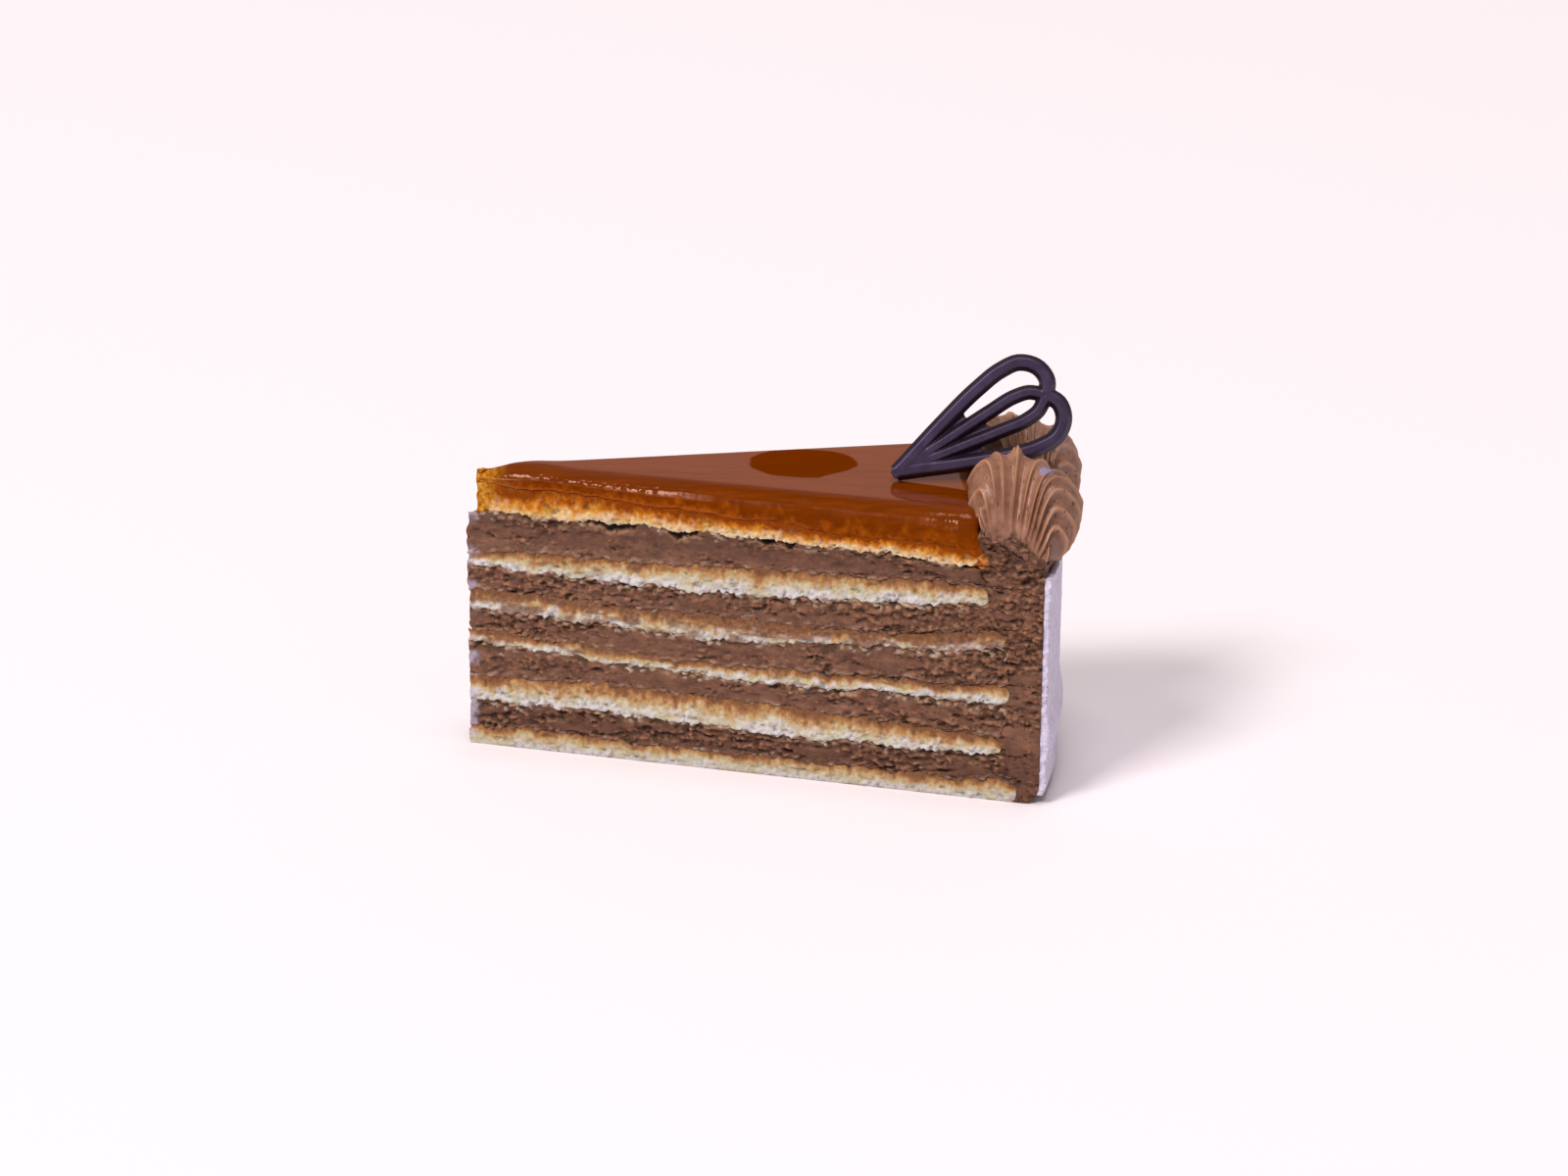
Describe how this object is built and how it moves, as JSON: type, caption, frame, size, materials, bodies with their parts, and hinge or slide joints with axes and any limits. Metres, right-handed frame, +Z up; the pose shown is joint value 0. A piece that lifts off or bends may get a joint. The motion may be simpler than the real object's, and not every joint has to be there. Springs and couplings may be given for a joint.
{
  "type": "slice of dobos torte",
  "caption": "Wedge of layered sponge and chocolate buttercream cake under a glossy caramel glaze, with piped shells on the rim and a chocolate heart ornament.",
  "frame": {"origin": "on the surface that the slice stands on, under the middle of its box", "axes": "+X from the tip of the slice to its rim, +Y across the slice from the near cut face to the far one, +Z up"},
  "size_m": [0.119, 0.0486, 0.0818],
  "materials": {
    "sponge": "matte crumb, browned along the upper edge",
    "soaked_sponge": "moist crumb soaked with caramel",
    "buttercream": "satin, torn rough where cut, smooth where piped",
    "rim_coat": "smooth matte with fine pores",
    "caramel": "clear wet gloss",
    "chocolate": "satin moulded chocolate"
  },
  "bodies": {
    "root": {"sponge_1": "sponge", "sponge_2": "sponge", "sponge_3": "sponge", "sponge_4": "sponge", "sponge_5": "sponge", "sponge_6": "soaked_sponge", "cream_1": "buttercream", "cream_2": "buttercream", "cream_3": "buttercream", "cream_4": "buttercream", "cream_5": "buttercream", "rim_cream": "buttercream", "rim_coat": "rim_coat", "caramel_glaze": "caramel", "shell_near": "buttercream", "shell_far": "buttercream", "chocolate_ornament": "chocolate"}
  },
  "joints": []
}
